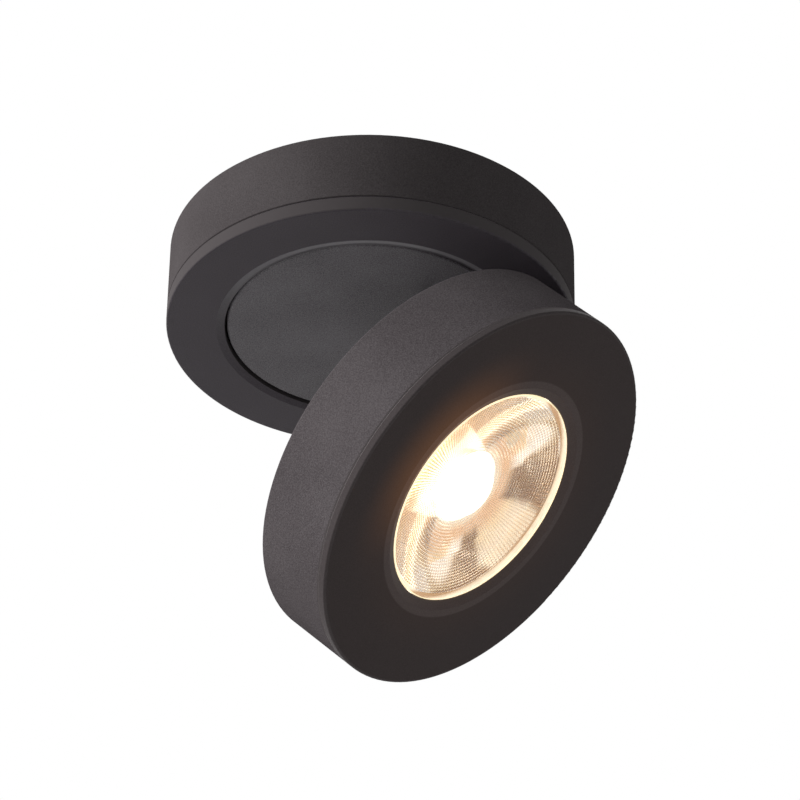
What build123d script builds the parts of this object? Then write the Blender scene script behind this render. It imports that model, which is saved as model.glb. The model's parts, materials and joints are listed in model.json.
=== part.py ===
from build123d import *
from math import cos, radians, sin, sqrt
import os

os.makedirs("parts", exist_ok=True)

# Folding surface-mounted LED spotlight, sizes in millimetres.
# The origin is the centre of the mounting plane, +Z points up into the ceiling and
# +X runs along the mounting strap. The lamp hangs below the plane.

# Overall form
base_diameter = 100.0
base_height = 22.5
head_diameter = 100.0
head_thickness = 22.0
fold_gap = 6.7            # between the two discs when the head is folded flat
head_tilt = 45.0          # how far the head faces away from straight down
head_swivel = -17.5       # turn of the head about the ceiling axis
edge_chamfer = 0.45       # small break on the outer edges
seam_chamfer = 0.3        # shadow line where two castings meet

# Base casting and its face ring
base_wall = 2.2
base_web = 2.0
base_lip = 2.0            # part of the wall that hangs below the web
web_root_radius = 1.2
face_ring_height = 4.0
face_ring_plate = 2.2
face_ring_lip_wall = 2.0
face_ring_bevel_width = 2.05
face_ring_bevel_depth = 0.35
ring_boss_radius = 3.1
ring_screw_count = 4
lip_clearance = 0.15

# Turntable and its bearing
turntable_diameter = 70.4
turntable_gap = 0.55
turntable_recess = 0.7
turntable_thickness = 2.0
turntable_round = 0.8     # soft edge toward the room
hub_radius = 6.0
hub_bore_radius = 4.2
hub_shoulder_radius = 10.0
bush_wall = 1.2
bush_flange_radius = 11.0
bush_flange_thickness = 0.8
running_clearance = 0.05
washer_clearance = 0.2    # washers round the hub
thrust_washer_thickness = 0.8
disc_spring_thickness = 0.6
disc_spring_height = 1.4
disc_spring_radius = 10.0
nut_across_flats = 17.0
nut_thickness = 3.4
nut_chamfer = 0.4
hub_end = 0.7             # hub standing past the nut
stop_pin_radius = 1.2
stop_inset = 2.8          # stop circle, in from the turntable's edge
stop_travel = 175.0       # swivel each way before the lug meets the pin
stop_lug_length = 3.6
stop_play = 0.06
stop_pin_clearance = 0.25  # pin above the turntable
stop_lug_clearance = 0.5   # lug below the web

# Mounting strap and side screws
strap_thickness = 1.5
strap_width = 18.0
strap_tab_width = 12.0
strap_tab_drop = 11.0
strap_side_clearance = 0.3
strap_bend_radius = 1.0
strap_shoulder = 1.0      # full width kept below the bend
slot_spacing = 60.0
slot_length = 16.0        # overall
slot_width = 4.5
cable_hole_radius = 7.0
side_screw_drop = 6.0
side_screw_radius = 1.45
side_screw_head_radius = 2.6
side_screw_head_depth = 1.15
side_screw_top = 0.25     # head stays just under the curved wall
side_screw_end = 0.8      # thread standing past the tab
side_screw_clearance = 0.15

# Driver and terminal block
driver_length = 52.0
driver_width = 22.0
driver_height = 11.5
driver_wall = 1.2
driver_gap = 1.0          # between the driver and the thrust washer
driver_corner = 1.5
driver_inner_corner = 0.5
driver_ear = 5.4
driver_ear_thickness = 2.0
driver_ear_corner = 1.8
lid_lip_wall = 1.05
lid_lip_depth = 1.0
lid_lip_corner = 0.4
board_thickness = 1.2
board_post = 1.0
board_post_radius = 1.4
board_post_inset = 2.0
board_corner = 0.6
board_margin = 0.4
transformer_length = 15.0
transformer_width = 12.0
transformer_height = 6.0
transformer_inset = 10.0   # from the end of the board
transformer_corner = 1.5
winding_bulge = 1.0       # winding past each end of the core
winding_margin = 2.0      # core past each side of the winding
winding_lift = 1.8        # core below and above the winding
capacitor_radius = 3.2
capacitor_height = 5.8
capacitor_round = 0.6
capacitor_gap = 3.0       # from the transformer
capacitor_spacing = 1.2
terminal_length = 30.0
terminal_width = 15.0
terminal_height = 10.5
terminal_gap = 5.5        # between the terminal block and the thrust washer
terminal_pitch = 9.0
terminal_well_radius = 1.9
terminal_wire_radius = 1.6
terminal_wire_level = 4.0
terminal_screw_inset = 3.45  # screw axis in from the end of its pole
terminal_screw_height = 3.2
terminal_screw_overlap = 0.7  # screw foot reaching into the wire hole
terminal_screw_clearance = 0.1
terminal_insert_wall = 0.4
terminal_insert_inset = 1.5
terminal_chamfer = 1.6
terminal_corner = 0.8
terminal_slit_width = 1.2
terminal_slit_depth = 3.5

# Arm and hinge
hinge_inset = 5.0         # hinge axis in from the head's rim
hinge_standoff = 0.65     # hinge axis behind the head's rear face
knuckle_radius = 2.6
knuckle_width = 6.6       # the head's middle knuckle
ear_width = 3.2           # each of the arm's two ears
hinge_washer_thickness = 0.3
hinge_pin_radius = 1.5
hinge_head_thickness = 1.4
hinge_pocket_clearance = 0.4
hinge_washer_inset = 0.1
hinge_pin_tail = 1.1      # pin inside the cap
hinge_head_round = 0.5
hinge_cap_round = 0.4
hinge_recess_radius = 1.1
hinge_recess_depth = 0.9
arm_clearance = 0.6       # between the arm and the face ring
arm_thickness = 3.0
arm_start = 14.0
arm_root_chamfer = 2.2
arm_root_radius = 2.0
arm_foot_margin = 1.2     # foot kept inside the turntable's edge
arm_screw_inset = 4.5
arm_screw_spacing = 9.0
arm_screw_floor = 1.0     # arm left under the screw holes
arm_screw_gap = 0.5       # screw tip above the floor of its hole
ear_overhang = 0.2        # bar reaching past the hinge axis

# Head casting and bezel
head_wall = 2.5
head_rear_wall = 5.0
head_front_lip = 2.2      # bezel edge that shows in front of the seam
bezel_lip_depth = 2.6
bezel_lip_wall = 1.8
lens_bevel_width = 2.1
lens_bevel_depth = 1.0
fin_recess_radius = 36.0
fin_depth = 2.5
fin_thickness = 1.7
fin_pitch = 4.9
pedestal_radius = 19.4
pedestal_height = 1.0

# Lens and light source
lens_face_radius = 27.7
lens_setback = 0.85       # lens face behind the front of the bezel
lens_gap = 0.15
lens_flange_width = 2.7   # flange past the lens face
lens_flange_thickness = 1.4
lens_wall_inset = 1.1     # mirror wall in from the lens face
lens_wall_bow_reach = 0.58  # where the mirror wall bows, along its reach and its height
lens_wall_bow_rise = 0.46
lens_foot_radius = 9.2
lens_well_radius = 7.2
lens_well_depth = 5.6
lens_well_crown = 2.2
lens_well_draft = 0.5
lens_foot_gap = 0.3       # lens foot above the light source
gasket_thickness = 0.5
gasket_clearance = 0.2
support_wall = 1.8
thermal_pad_thickness = 0.3
cob_side = 19.0
cob_thickness = 1.0
cob_corner = 0.6
cob_clearance = 0.15
emitter_radius = 6.2
emitter_thickness = 0.3
holder_radius = 19.2
holder_cover = 0.6        # holder standing past the light source
holder_opening_radius = 9.6
holder_screw_reach = 16.2
holder_screw_depth = 2.8  # tapped hole in the casting
holder_screw_gap = 0.2    # screw tip above the end of its hole
holder_round = 0.4

# Grommets, screws and leads
grommet_hole_radius = 3.4
grommet_flange_radius = 4.8
grommet_flange_thickness = 1.1
grommet_bore_radius = 2.0
grommet_round = 0.4
grommet_land = 1.4        # flat ring left round the head's grommet
grommet_reach = 20.0      # turntable grommet, along the arm and beside it
grommet_side = 13.5
head_grommet_gap = 4.25    # grommet flange outside the lens support
head_grommet_angle = -30.5  # from the hinge direction
screw_clearance = 0.05
screw_tip_gap = 0.2       # screw end above the far side of the web
through_clearance = 0.3   # round a screw that passes through
small_screw_radius = 1.1
small_head_radius = 2.4
small_head_height = 1.5
medium_screw_radius = 1.3
medium_head_radius = 2.7
medium_head_height = 1.4
recess_length = 2.4
recess_width = 0.6
recess_depth = 0.7
hex_recess_radius = 1.0
lead_radius = 0.7
lead_spacing = 2.0
head_lead_spacing = 1.6
lead_bend = 3.0
lead_notch_width = 5.0
lead_notch_height = 4.0
lead_lift = 0.2           # leads above what they lie on
lead_end_gap = 1.95       # lead ends short of the clamping screw's axis
lead_straight = 2.5       # straight out of the terminal block
lead_sweep = 9.5          # where the supply leads turn along the driver
output_lead_rise = 2.0    # leads above the hub
output_lead_end = 1.2     # lead ends above the turntable
head_lead_bend = 2.4
head_lead_end = 0.4       # lead ends inside the head's grommet
hub_slot_width = 3.4      # way out of the hub for the leads
hub_slot_floor = 0.15     # left under the hub's shoulder

# Levels of the base, downward from the ceiling plane
base_radius = base_diameter / 2
base_inner_radius = base_radius - base_wall
face_z = -base_height
seam_z = face_z + face_ring_height
web_bottom_z = seam_z + base_lip
web_top_z = web_bottom_z + base_web
ring_plate_z = face_z + face_ring_plate
ring_lip_z = web_bottom_z - lip_clearance

# Turntable levels and radii
turntable_radius = turntable_diameter / 2
opening_radius = turntable_radius + turntable_gap
turntable_z = face_z + turntable_recess
turntable_top_z = turntable_z + turntable_thickness
shoulder_z = web_bottom_z - bush_flange_thickness
thrust_z = web_top_z + thrust_washer_thickness
nut_z = thrust_z + disc_spring_height
nut_top_z = nut_z + nut_thickness
hub_top_z = nut_top_z + hub_end
driver_offset = bush_flange_radius + driver_gap
terminal_offset = bush_flange_radius + terminal_gap
bush_bore_radius = hub_radius + running_clearance
washer_bore = hub_radius + washer_clearance
bush_radius = bush_bore_radius + bush_wall
web_bore_radius = bush_radius + screw_clearance
stop_radius = turntable_radius - stop_inset
ring_lip_radius = base_inner_radius - lip_clearance
ring_lip_bore = ring_lip_radius - face_ring_lip_wall
bevel_radius = opening_radius + face_ring_bevel_width
ring_screw_radius = (opening_radius + ring_lip_bore) / 2

# Head frame: origin at the middle of the rear face, x toward the hinge, z the way the lamp faces
head_radius = head_diameter / 2
hinge_radius = head_radius - hinge_inset
hinge_z = face_z - fold_gap + hinge_standoff
swivel = radians(head_swivel)
tilt = radians(head_tilt)
up = Vector(0, 0, 1)
radial = Vector(cos(swivel), sin(swivel), 0)
across = Vector(-sin(swivel), cos(swivel), 0)
toward_hinge = radial * cos(tilt) + up * sin(tilt)
facing = radial * sin(tilt) - up * cos(tilt)
hinge_point = radial * hinge_radius + up * hinge_z
head_origin = hinge_point - toward_hinge * hinge_radius + facing * hinge_standoff

turn_plane = Plane(origin=(0, 0, 0), x_dir=radial, z_dir=up)
arm_plane = Plane(origin=(0, 0, 0), x_dir=radial, z_dir=across * -1)
hinge_plane = Plane(origin=hinge_point, x_dir=radial, z_dir=across * -1)
head_plane = Plane(origin=head_origin, x_dir=toward_hinge, z_dir=facing)
head_section = Plane(origin=head_origin, x_dir=toward_hinge, z_dir=across)
head_hinge = Plane(origin=hinge_point, x_dir=toward_hinge, z_dir=across)
head_axis = Axis(head_origin, facing)

# Head levels, measured forward from the rear face
head_inner_radius = head_radius - head_wall
head_seam_w = head_thickness - head_front_lip
pedestal_w = head_rear_wall + pedestal_height
cob_w = pedestal_w + thermal_pad_thickness
emitter_w = cob_w + cob_thickness
lens_face_w = head_thickness - lens_setback
flange_front_w = head_seam_w - gasket_thickness
flange_rear_w = flange_front_w - lens_flange_thickness
lens_foot_w = emitter_w + emitter_thickness + lens_foot_gap
lens_opening_radius = lens_face_radius + lens_gap
lens_flange_radius = lens_face_radius + lens_flange_width
lens_wall_radius = lens_face_radius - lens_wall_inset
support_radius = lens_flange_radius
bezel_lip_radius = head_inner_radius - lip_clearance
pocket_radius = knuckle_radius + hinge_pocket_clearance
hinge_half = knuckle_width / 2 + hinge_washer_thickness + ear_width
pocket_half = hinge_half + hinge_head_thickness + hinge_pocket_clearance

pieces = {}


def pan_screws(plane, places, radius, length, head_radius, head_height):
    with BuildPart() as screws:
        with BuildSketch(plane):
            with Locations(*places):
                Circle(head_radius)
        extrude(amount=head_height)
        with BuildSketch(plane):
            with Locations(*places):
                Circle(radius)
        extrude(amount=-length)
        with BuildSketch(plane.offset(head_height)):
            with Locations(*places):
                Rectangle(recess_length, recess_width)
                Rectangle(recess_width, recess_length)
        extrude(amount=-recess_depth, mode=Mode.SUBTRACT)
    return screws.part


def flat_ring(plane, outer, inner, thickness):
    with BuildPart() as ring:
        with BuildSketch(plane):
            Circle(outer)
            Circle(inner, mode=Mode.SUBTRACT)
        extrude(amount=thickness)
    return ring.part


def grommet(plane, wall):
    with BuildPart() as body:
        with BuildSketch(plane.offset(-grommet_flange_thickness)):
            Circle(grommet_flange_radius)
        extrude(amount=grommet_flange_thickness)
        with BuildSketch(plane):
            Circle(grommet_hole_radius - screw_clearance)
        extrude(amount=wall)
        with BuildSketch(plane.offset(wall)):
            Circle(grommet_flange_radius)
        extrude(amount=grommet_flange_thickness)
        fillet(body.edges().filter_by(GeomType.CIRCLE).group_by(SortBy.RADIUS)[-1], grommet_round)
        with BuildSketch(plane.offset(-grommet_flange_thickness)):
            Circle(grommet_bore_radius)
        extrude(amount=wall + 2 * grommet_flange_thickness, mode=Mode.SUBTRACT)
    return body.part


def lead_pair(paths, bend=lead_bend):
    with BuildPart() as leads:
        for points in paths:
            with BuildLine() as route:
                FilletPolyline(*points, radius=bend)
            with BuildSketch(Plane(origin=route.line @ 0, z_dir=route.line % 0)):
                Circle(lead_radius)
            sweep(path=route.line)
    return leads.part


# Base casting: a shallow cup, its web closed toward the room and its mouth toward the ceiling
ring_screw_spots = [
    (ring_screw_radius * cos(radians(a)), ring_screw_radius * sin(radians(a)))
    for a in range(0, 360, 360 // ring_screw_count)
]
driver_mid_y = driver_offset + driver_width / 2
driver_ear_x = driver_length / 2 + driver_ear / 2
driver_screw_spots = [(-driver_ear_x, driver_mid_y), (driver_ear_x, driver_mid_y)]
stop_pin_spot = radial * stop_radius
side_planes = [
    Plane(origin=(s * base_radius, 0, -side_screw_drop), x_dir=(0, 1, 0), z_dir=(s, 0, 0))
    for s in (-1, 1)
]

with BuildPart() as base_housing:
    with BuildSketch(Plane.XZ):
        with BuildLine():
            Polyline(
                (web_bore_radius, web_top_z),
                (base_inner_radius, web_top_z),
                (base_inner_radius, 0),
                (base_radius, 0),
                (base_radius, seam_z),
                (base_inner_radius, seam_z),
                (base_inner_radius, web_bottom_z),
                (web_bore_radius, web_bottom_z),
                close=True,
            )
        make_face()
    revolve(axis=Axis.Z)
    rims = base_housing.edges().filter_by(GeomType.CIRCLE).group_by(SortBy.RADIUS)[-1]
    chamfer(rims.sort_by(Axis.Z)[-1], edge_chamfer)
    chamfer(rims.sort_by(Axis.Z)[0], seam_chamfer)
    fillet(
        base_housing.edges()
        .filter_by(GeomType.CIRCLE)
        .filter_by_position(Axis.Z, web_top_z - 0.01, web_top_z + 0.01)
        .sort_by(SortBy.RADIUS)[-1],
        web_root_radius,
    )
    with BuildSketch(Plane.XY.offset(web_bottom_z)):
        with Locations(*ring_screw_spots):
            Circle(small_screw_radius + through_clearance)
        with Locations(*driver_screw_spots):
            Circle(small_screw_radius + screw_clearance)
        with Locations((stop_pin_spot.X, stop_pin_spot.Y)):
            Circle(stop_pin_radius + screw_clearance)
    extrude(amount=base_web, mode=Mode.SUBTRACT)
    with Locations(*side_planes):
        CounterSinkHole(
            radius=side_screw_radius + side_screw_clearance,
            counter_sink_radius=side_screw_head_radius + side_screw_top + side_screw_clearance,
            depth=base_wall * 2,
            counter_sink_angle=90,
        )
pieces["base_housing"] = base_housing.part

# Face ring: the smooth front of the base with the bevelled opening round the turntable
with BuildPart() as base_face_ring:
    with BuildSketch(Plane.XZ):
        with BuildLine():
            Polyline(
                (opening_radius, ring_plate_z),
                (ring_lip_bore, ring_plate_z),
                (ring_lip_bore, ring_lip_z),
                (ring_lip_radius, ring_lip_z),
                (ring_lip_radius, seam_z),
                (base_radius, seam_z),
                (base_radius, face_z),
                (bevel_radius, face_z),
                (opening_radius, face_z + face_ring_bevel_depth),
                close=True,
            )
        make_face()
    revolve(axis=Axis.Z)
    rims = base_face_ring.edges().filter_by(GeomType.CIRCLE).group_by(SortBy.RADIUS)[-1]
    chamfer(rims.sort_by(Axis.Z)[-1], seam_chamfer)
    fillet(rims.sort_by(Axis.Z)[0], edge_chamfer)
    with BuildSketch(Plane.XY.offset(ring_plate_z)):
        with Locations(*ring_screw_spots):
            Circle(ring_boss_radius)
    extrude(amount=web_bottom_z - ring_plate_z)
    with BuildSketch(Plane.XY.offset(web_bottom_z)):
        with Locations(*ring_screw_spots):
            Circle(small_screw_radius + screw_clearance)
    extrude(amount=ring_plate_z - web_bottom_z - face_ring_plate / 2, mode=Mode.SUBTRACT)
pieces["base_face_ring"] = base_face_ring.part

pieces["face_ring_screws"] = pan_screws(
    Plane.XY.offset(web_top_z),
    ring_screw_spots,
    small_screw_radius,
    base_web + web_bottom_z - ring_plate_z,
    small_head_radius,
    small_head_height,
)

# Flanged plastic bush in the web, the bearing of the swivel
with BuildPart() as swivel_bush:
    with BuildSketch(Plane.XY.offset(shoulder_z)):
        Circle(bush_flange_radius)
    extrude(amount=bush_flange_thickness)
    with BuildSketch(Plane.XY.offset(web_bottom_z)):
        Circle(bush_radius)
    extrude(amount=base_web)
    with BuildSketch(Plane.XY.offset(shoulder_z)):
        Circle(bush_bore_radius)
    extrude(amount=bush_flange_thickness + base_web, mode=Mode.SUBTRACT)
pieces["swivel_bush"] = swivel_bush.part

# Stop pin pressed through the web; the turntable's lug meets it at the ends of the swivel
with BuildPart() as stop_pin:
    with BuildSketch(Plane.XY.offset(turntable_top_z + stop_pin_clearance)):
        with Locations((stop_pin_spot.X, stop_pin_spot.Y)):
            Circle(stop_pin_radius)
    extrude(amount=web_top_z - turntable_top_z - stop_pin_clearance)
pieces["stop_pin"] = stop_pin.part

# Strap: bent steel bar that is screwed to the ceiling, its tabs take the side screws
strap_reach = base_inner_radius - strap_side_clearance
strap_half = sqrt(strap_reach**2 - (strap_width / 2) ** 2)
with BuildPart() as mounting_strap:
    with BuildSketch(Plane.XZ):
        with BuildLine():
            Polyline(
                (-strap_half, -strap_tab_drop),
                (-strap_half, 0),
                (strap_half, 0),
                (strap_half, -strap_tab_drop),
                (strap_half - strap_thickness, -strap_tab_drop),
                (strap_half - strap_thickness, -strap_thickness),
                (strap_thickness - strap_half, -strap_thickness),
                (strap_thickness - strap_half, -strap_tab_drop),
                close=True,
            )
        make_face()
    extrude(amount=strap_width / 2, both=True)
    bends = mounting_strap.edges().filter_by(Axis.Y)
    fillet(bends.group_by(Axis.Z)[-1], strap_bend_radius + strap_thickness)
    fillet(
        mounting_strap.edges()
        .filter_by(Axis.Y)
        .filter_by_position(Axis.Z, -strap_thickness - 0.01, -strap_thickness + 0.01),
        strap_bend_radius,
    )
    tab_trim = (strap_width - strap_tab_width) / 2
    tab_length = strap_tab_drop - strap_thickness - strap_bend_radius - strap_shoulder
    with BuildSketch(Plane.YZ.offset(-base_radius)):
        with Locations(*[(s * strap_width / 2, -strap_tab_drop) for s in (-1, 1)]):
            Rectangle(2 * tab_trim, 2 * tab_length)
    extrude(amount=base_diameter, mode=Mode.SUBTRACT)
    with BuildSketch(Plane.XY.offset(-strap_thickness)):
        Circle(cable_hole_radius)
        with Locations((-slot_spacing / 2, 0), (slot_spacing / 2, 0)):
            SlotOverall(slot_length, slot_width)
    extrude(amount=strap_thickness, mode=Mode.SUBTRACT)
    with BuildSketch(Plane.YZ.offset(-base_radius)):
        with Locations((0, -side_screw_drop)):
            Circle(side_screw_radius + screw_clearance)
    extrude(amount=base_diameter, mode=Mode.SUBTRACT)
pieces["mounting_strap"] = mounting_strap.part

# Flush countersunk screws that hold the base casting on the strap's tabs
side_screw_reach = base_radius - strap_half + strap_thickness + side_screw_end
with BuildPart() as side_screws:
    for plane in side_planes:
        with BuildSketch(plane.offset(-side_screw_top)):
            Circle(side_screw_head_radius)
        with BuildSketch(plane.offset(-side_screw_top - side_screw_head_depth)):
            Circle(side_screw_radius)
        loft()
        with BuildSketch(plane.offset(-side_screw_top - side_screw_head_depth)):
            Circle(side_screw_radius)
        extrude(amount=side_screw_top + side_screw_head_depth - side_screw_reach)
        with BuildSketch(plane.offset(-side_screw_top)):
            RegularPolygon(hex_recess_radius, 6)
        extrude(amount=-recess_depth, mode=Mode.SUBTRACT)
pieces["side_screws"] = side_screws.part

# Driver: moulded case with two ears, its lid, and the board with its largest parts
driver_plane = Plane((0, driver_mid_y, web_top_z))
case_height = driver_height - driver_wall
case_inside_length = driver_length - 2 * driver_wall
case_inside_width = driver_width - 2 * driver_wall
board_length = case_inside_length - 2 * board_margin
board_width = case_inside_width - 2 * board_margin
board_z = driver_wall + board_post
with BuildPart() as driver_case:
    with BuildSketch(driver_plane):
        RectangleRounded(driver_length, driver_width, driver_corner)
    extrude(amount=case_height)
    with BuildSketch(driver_plane.offset(driver_wall)):
        RectangleRounded(case_inside_length, case_inside_width, driver_inner_corner)
    extrude(amount=case_height - driver_wall, mode=Mode.SUBTRACT)
    with BuildSketch(driver_plane.offset(driver_wall)):
        with GridLocations(board_length - 2 * board_post_inset, board_width - 2 * board_post_inset, 2, 2):
            Circle(board_post_radius)
    extrude(amount=board_post)
    with BuildSketch(driver_plane):
        with Locations((-driver_ear_x, 0), (driver_ear_x, 0)):
            Rectangle(driver_ear, 2 * driver_ear)
    extrude(amount=driver_ear_thickness)
    ear_corners = driver_case.edges().filter_by(Axis.Z).group_by(Axis.X)
    fillet(ear_corners[0] + ear_corners[-1], driver_ear_corner)
    with BuildSketch(driver_plane):
        with Locations((-driver_ear_x, 0), (driver_ear_x, 0)):
            Circle(small_screw_radius + through_clearance)
    extrude(amount=driver_ear_thickness, mode=Mode.SUBTRACT)
pieces["driver_case"] = driver_case.part

lid_lip_length = case_inside_length - 2 * lip_clearance
lid_lip_width = case_inside_width - 2 * lip_clearance
with BuildPart() as driver_lid:
    with BuildSketch(driver_plane.offset(case_height)):
        RectangleRounded(driver_length, driver_width, driver_corner)
    extrude(amount=driver_wall)
    with BuildSketch(driver_plane.offset(case_height)):
        RectangleRounded(lid_lip_length, lid_lip_width, lid_lip_corner)
        RectangleRounded(
            lid_lip_length - 2 * lid_lip_wall,
            lid_lip_width - 2 * lid_lip_wall,
            lid_lip_corner,
            mode=Mode.SUBTRACT,
        )
    extrude(amount=-lid_lip_depth)
pieces["driver_lid"] = driver_lid.part

with BuildPart() as driver_board:
    with BuildSketch(driver_plane.offset(board_z)):
        RectangleRounded(board_length, board_width, board_corner)
    extrude(amount=board_thickness)
pieces["driver_board"] = driver_board.part

board_top = driver_plane.offset(board_z + board_thickness)
transformer_x = transformer_inset + transformer_length / 2 - board_length / 2
with BuildPart() as driver_transformer:
    with BuildSketch(board_top):
        with Locations((transformer_x, 0)):
            Rectangle(transformer_length, transformer_width)
    extrude(amount=transformer_height)
    fillet(driver_transformer.edges().filter_by(Axis.Z), transformer_corner)
    with BuildSketch(board_top.offset(winding_lift)):
        with Locations((transformer_x, 0)):
            Rectangle(transformer_length + 2 * winding_bulge, transformer_width - 2 * winding_margin)
    extrude(amount=transformer_height - 2 * winding_lift)
pieces["driver_transformer"] = driver_transformer.part

capacitor_x = transformer_x + transformer_length / 2 + capacitor_gap + capacitor_radius
capacitor_y = capacitor_radius + capacitor_spacing / 2
with BuildPart() as driver_capacitors:
    with BuildSketch(board_top):
        with Locations(
            (capacitor_x, -capacitor_y),
            (capacitor_x, capacitor_y),
            (capacitor_x + 2 * capacitor_radius + capacitor_spacing, 0),
        ):
            Circle(capacitor_radius)
    extrude(amount=capacitor_height)
    fillet(driver_capacitors.edges().filter_by(GeomType.CIRCLE).group_by(Axis.Z)[-1], capacitor_round)
pieces["driver_capacitors"] = driver_capacitors.part

pieces["driver_screws"] = pan_screws(
    Plane.XY.offset(web_top_z + driver_ear_thickness),
    driver_screw_spots,
    small_screw_radius,
    driver_ear_thickness + base_web - screw_tip_gap,
    small_head_radius,
    small_head_height,
)

# Three-pole terminal block for the supply
terminal_mid_y = -(terminal_offset + terminal_width / 2)
terminal_plane = Plane((0, terminal_mid_y, web_top_z))
terminal_xs = [-terminal_pitch, 0, terminal_pitch]
well_floor = terminal_wire_level + terminal_wire_radius - terminal_screw_overlap
terminal_screw_y = terminal_width / 2 - terminal_screw_inset
well_spots = [(x, s * terminal_screw_y) for x in terminal_xs for s in (-1, 1)]
with BuildPart() as terminal_block:
    with BuildSketch(terminal_plane):
        Rectangle(terminal_length, terminal_width)
    extrude(amount=terminal_height)
    chamfer(terminal_block.edges().filter_by(Axis.X).group_by(Axis.Z)[-1], terminal_chamfer)
    fillet(terminal_block.edges().filter_by(Axis.Z), terminal_corner)
    with BuildSketch(terminal_plane.offset(terminal_height)):
        with Locations((-terminal_pitch / 2, 0), (terminal_pitch / 2, 0)):
            Rectangle(terminal_slit_width, terminal_width)
    extrude(amount=-terminal_slit_depth, mode=Mode.SUBTRACT)
    with BuildSketch(terminal_plane.offset(terminal_height)):
        with Locations(*well_spots):
            Circle(terminal_well_radius)
    extrude(amount=well_floor - terminal_height, mode=Mode.SUBTRACT)
    with BuildSketch(Plane.XZ.offset(terminal_offset)):
        with Locations(*[(x, web_top_z + terminal_wire_level) for x in terminal_xs]):
            Circle(terminal_wire_radius)
    extrude(amount=terminal_width, mode=Mode.SUBTRACT)
pieces["terminal_block"] = terminal_block.part

# Tube of each pole, open above where its two clamp screws come down on the wire
insert_radius = terminal_wire_radius - terminal_screw_clearance
with BuildPart() as terminal_inserts:
    with BuildSketch(Plane.XZ.offset(terminal_offset + terminal_insert_inset)):
        with Locations(*[(x, web_top_z + terminal_wire_level) for x in terminal_xs]):
            Circle(insert_radius)
            Circle(insert_radius - terminal_insert_wall, mode=Mode.SUBTRACT)
    extrude(amount=terminal_width - 2 * terminal_insert_inset)
    with BuildSketch(terminal_plane.offset(well_floor)):
        with Locations(*well_spots):
            Circle(terminal_well_radius)
    extrude(amount=terminal_height, mode=Mode.SUBTRACT)
pieces["terminal_inserts"] = terminal_inserts.part

with BuildPart() as terminal_screws:
    with BuildSketch(terminal_plane.offset(well_floor)):
        with Locations(*well_spots):
            Circle(terminal_well_radius - terminal_screw_clearance)
    extrude(amount=terminal_screw_height)
    with BuildSketch(terminal_plane.offset(well_floor + terminal_screw_height)):
        with Locations(*well_spots):
            Rectangle(2 * terminal_well_radius, recess_width)
    extrude(amount=-recess_depth, mode=Mode.SUBTRACT)
pieces["terminal_screws"] = terminal_screws.part

# Turntable: recessed disc with a hollow hub through the web and a lug for the stop
lug_half = stop_radius * sin(radians(180 - stop_travel)) - stop_pin_radius - stop_play
grommet_spot = (grommet_reach, grommet_side)
arm_screw_start = arm_start + arm_screw_inset
arm_screw_spots = [(arm_screw_start, 0), (arm_screw_start + arm_screw_spacing, 0)]
with BuildPart() as turntable_disc:
    with BuildSketch(Plane.XZ):
        with BuildLine():
            Polyline(
                (0, turntable_z),
                (turntable_radius, turntable_z),
                (turntable_radius, turntable_top_z),
                (hub_shoulder_radius, turntable_top_z),
                (hub_shoulder_radius, shoulder_z),
                (hub_radius, shoulder_z),
                (hub_radius, hub_top_z),
                (hub_bore_radius, hub_top_z),
                (hub_bore_radius, turntable_top_z),
                (0, turntable_top_z),
                close=True,
            )
        make_face()
    revolve(axis=Axis.Z)
    edge = turntable_disc.edges().filter_by(GeomType.CIRCLE).group_by(SortBy.RADIUS)[-1]
    fillet(edge.sort_by(Axis.Z)[0], turntable_round)
    with BuildSketch(turn_plane.offset(turntable_top_z)):
        with Locations((-stop_radius, 0)):
            Rectangle(stop_lug_length, 2 * lug_half)
    extrude(amount=web_bottom_z - turntable_top_z - stop_lug_clearance)
    with BuildSketch(turn_plane.offset(turntable_z)):
        with Locations(*arm_screw_spots):
            Circle(medium_screw_radius + through_clearance)
        with Locations(grommet_spot):
            Circle(grommet_hole_radius)
    extrude(amount=turntable_thickness, mode=Mode.SUBTRACT)
    with BuildSketch(turn_plane.offset(turntable_top_z)):
        Rectangle(
            2 * hub_shoulder_radius, hub_slot_width, rotation=45, align=(Align.MIN, Align.CENTER)
        )
    extrude(amount=shoulder_z - turntable_top_z - hub_slot_floor, mode=Mode.SUBTRACT)
pieces["turntable_disc"] = turntable_disc.part

pieces["thrust_washer"] = flat_ring(
    Plane.XY.offset(web_top_z), bush_flange_radius, washer_bore, thrust_washer_thickness
)

spring_rise = disc_spring_height - disc_spring_thickness
with BuildPart() as disc_spring:
    with BuildSketch(Plane.XZ):
        with BuildLine():
            Polyline(
                (washer_bore, thrust_z + spring_rise),
                (disc_spring_radius, thrust_z),
                (disc_spring_radius, thrust_z + disc_spring_thickness),
                (washer_bore, thrust_z + disc_spring_height),
                close=True,
            )
        make_face()
    revolve(axis=Axis.Z)
pieces["disc_spring"] = disc_spring.part

with BuildPart() as swivel_nut:
    with BuildSketch(turn_plane.offset(nut_z)):
        RegularPolygon(nut_across_flats / 2, 6, major_radius=False)
        Circle(hub_radius + screw_clearance, mode=Mode.SUBTRACT)
    extrude(amount=nut_thickness)
    bore_rims = swivel_nut.edges().filter_by(GeomType.CIRCLE)
    chamfer(bore_rims, nut_chamfer)
pieces["swivel_nut"] = swivel_nut.part

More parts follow.
